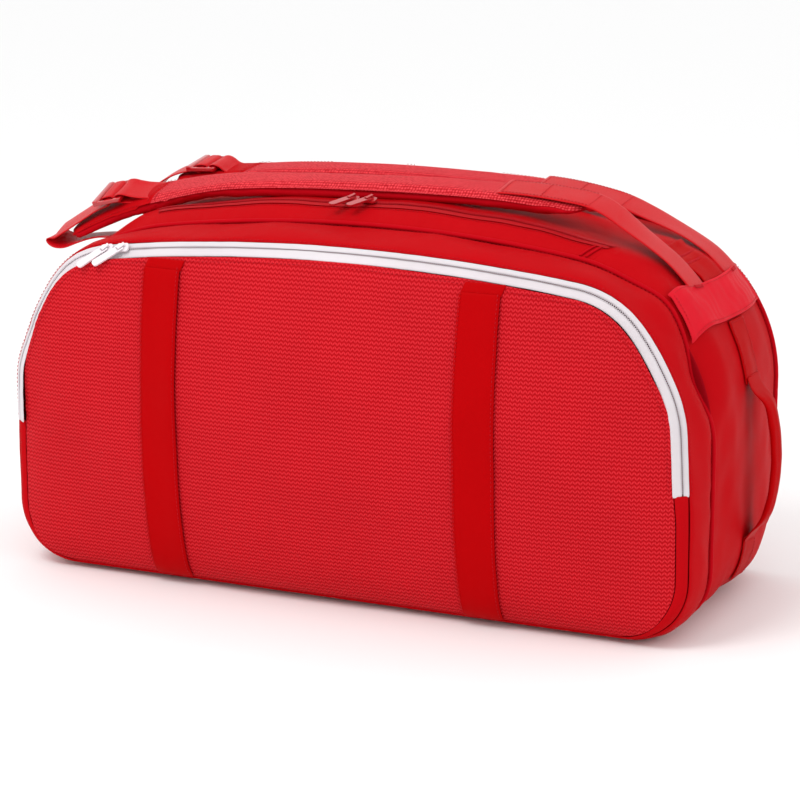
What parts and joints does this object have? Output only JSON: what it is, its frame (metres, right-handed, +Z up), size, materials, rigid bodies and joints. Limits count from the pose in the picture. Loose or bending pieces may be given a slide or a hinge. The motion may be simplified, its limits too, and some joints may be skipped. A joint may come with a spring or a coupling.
{
  "type": "racket duffel bag",
  "caption": "Long arched sports duffel with a zip-down front racket compartment, a zipped main compartment, padded shoulder straps with ladder-lock buckles and webbing grab handles.",
  "frame": {"origin": "middle of the bag's length, on the flat underside that stands on the floor, close to the middle of its depth", "axes": "+X along the length to the right seen from the front, -Y out of the front panel, +Z up"},
  "size_m": [0.7875, 0.335, 0.4047],
  "materials": {
    "panel_mesh": "knitted mesh over padding",
    "body_fabric": "coated satin weave",
    "webbing": "woven webbing",
    "zip_tape": "satin woven tape",
    "red_zip_tape": "woven tape",
    "pad_foam": "bound foam pad",
    "pad_mesh": "spacer mesh",
    "red_plastic": "moulded, glossy",
    "white_metal": "painted",
    "red_metal": "painted",
    "board": "stiffener sheet"
  },
  "bodies": {
    "bag": {"base_board": "board", "bottom_panel": "body_fabric", "compartment_divider": "body_fabric", "far_anchor_webbing": "webbing", "front_gusset": "body_fabric", "front_panel_lower": "panel_mesh", "front_webbing_left_lower": "webbing", "front_webbing_right_lower": "webbing", "front_zip_outer_tape": "zip_tape", "left_end_panel": "body_fabric", "left_end_patch": "body_fabric", "left_end_tab": "webbing", "left_end_webbing_lower": "webbing", "left_end_webbing_upper": "webbing", "main_zip_rear_tape": "red_zip_tape", "near_anchor_webbing": "webbing", "rear_panel": "body_fabric", "rear_piping": "body_fabric", "ridge_piping": "body_fabric", "right_end_panel": "body_fabric", "right_end_patch": "body_fabric", "right_end_tab": "webbing", "right_end_webbing_lower": "webbing", "right_end_webbing_upper": "webbing", "top_panel": "body_fabric"},
    "flap": {"front_panel_upper": "panel_mesh", "front_zip_inner_tape": "zip_tape", "front_webbing_left_upper": "webbing", "front_webbing_right_upper": "webbing"},
    "front_left_slider": {"front_slider_left": "white_metal"},
    "front_left_pull": {"front_pull_left": "white_metal"},
    "front_right_slider": {"front_slider_right": "white_metal"},
    "front_right_pull": {"front_pull_right": "white_metal"},
    "lip": {"mouth_lip": "body_fabric", "main_zip_front_tape": "red_zip_tape", "mouth_cross_seam_tab": "body_fabric"},
    "main_left_slider": {"main_slider_left": "red_metal"},
    "main_left_pull": {"main_pull_left": "red_metal"},
    "main_right_slider": {"main_slider_right": "red_metal"},
    "main_right_pull": {"main_pull_right": "red_metal"},
    "right_handle": {"right_grab_handle": "webbing"},
    "left_handle": {"left_grab_handle": "webbing"},
    "near_strap": {"near_strap_pad": "pad_foam", "near_strap_mesh": "pad_mesh", "near_strap_reinforcement": "body_fabric", "near_strap_webbing": "webbing", "near_adjuster_webbing": "webbing"},
    "near_lock": {"near_ladder_lock": "red_plastic", "near_lock_loop": "webbing"},
    "far_strap": {"far_strap_pad": "pad_foam", "far_strap_mesh": "pad_mesh", "far_strap_reinforcement": "body_fabric", "far_strap_webbing": "webbing", "far_adjuster_webbing": "webbing"},
    "far_lock": {"far_ladder_lock": "red_plastic", "far_lock_loop": "webbing"}
  },
  "joints": [
    {"name": "flap_fold", "type": "hinge", "parent": "bag", "child": "flap", "pos_m": [0, -0.1815, 0.15], "axis": [1, 0, 0], "range_deg": [0, 105]},
    {"name": "front_left_slide", "type": "hinge", "parent": "flap", "child": "front_left_slider", "pos_m": [-0.231, -0.142, 0.20864], "axis": [0, -1, 0], "range_deg": [0, 75]},
    {"name": "front_right_slide", "type": "hinge", "parent": "flap", "child": "front_right_slider", "pos_m": [0, -0.142, -1.642], "axis": [0, 1, 0], "range_deg": [0, 13.2]},
    {"name": "lip_fold", "type": "hinge", "parent": "bag", "child": "lip", "pos_m": [0, -0.08, 0.371], "axis": [1, 0, 0], "range_deg": [0, 110]},
    {"name": "main_left_slide", "type": "hinge", "parent": "lip", "child": "main_left_slider", "pos_m": [0, -0.047, -0.815], "axis": [0, -1, 0], "range_deg": [0, 8.8]},
    {"name": "main_right_slide", "type": "hinge", "parent": "lip", "child": "main_right_slider", "pos_m": [0, -0.047, -0.815], "axis": [0, 1, 0], "range_deg": [0, 10.2]},
    {"name": "front_left_pull_flip", "type": "hinge", "parent": "front_left_slider", "child": "front_left_pull", "pos_m": [-0.25059, -0.14663, 0.33915], "axis": [-0.7486, 0.4816, 0.4557], "range_deg": [0, 150]},
    {"name": "front_right_pull_flip", "type": "hinge", "parent": "front_right_slider", "child": "front_right_pull", "pos_m": [-0.23246, -0.14663, 0.34139], "axis": [-0.7335, 0.4815, 0.4797], "range_deg": [0, 150]},
    {"name": "main_left_pull_flip", "type": "hinge", "parent": "main_left_slider", "child": "main_left_pull", "pos_m": [-0.02612, -0.04895, 0.3905], "axis": [-0.8939, 0.4301, 0.1265], "range_deg": [0, 95]},
    {"name": "main_right_pull_flip", "type": "hinge", "parent": "main_right_slider", "child": "main_right_pull", "pos_m": [-0.00703, -0.04895, 0.39076], "axis": [-0.8945, 0.4251, 0.1382], "range_deg": [0, 95]},
    {"name": "near_strap_lift", "type": "hinge", "parent": "bag", "child": "near_strap", "pos_m": [0.31622, -0.012, 0.32328], "axis": [0, 1, 0], "range_deg": [0, 14]},
    {"name": "near_lock_tilt", "type": "hinge", "parent": "near_strap", "child": "near_lock", "pos_m": [-0.29974, -0.012, 0.37014], "axis": [0, 1, 0], "range_deg": [0, 30]},
    {"name": "far_strap_lift", "type": "hinge", "parent": "bag", "child": "far_strap", "pos_m": [0.31622, 0.092, 0.32328], "axis": [0, 1, 0], "range_deg": [0, 14]},
    {"name": "far_lock_tilt", "type": "hinge", "parent": "far_strap", "child": "far_lock", "pos_m": [-0.25394, 0.092, 0.39493], "axis": [0, 1, 0], "range_deg": [0, 30]},
    {"name": "right_handle_swing", "type": "hinge", "parent": "bag", "child": "right_handle", "pos_m": [0.37, 0.032, 0.146], "axis": [0, 0, 1], "range_deg": [-22, 22]},
    {"name": "left_handle_swing", "type": "hinge", "parent": "bag", "child": "left_handle", "pos_m": [-0.37, 0.032, 0.146], "axis": [0, 0, 1], "range_deg": [-22, 22]}
  ]
}
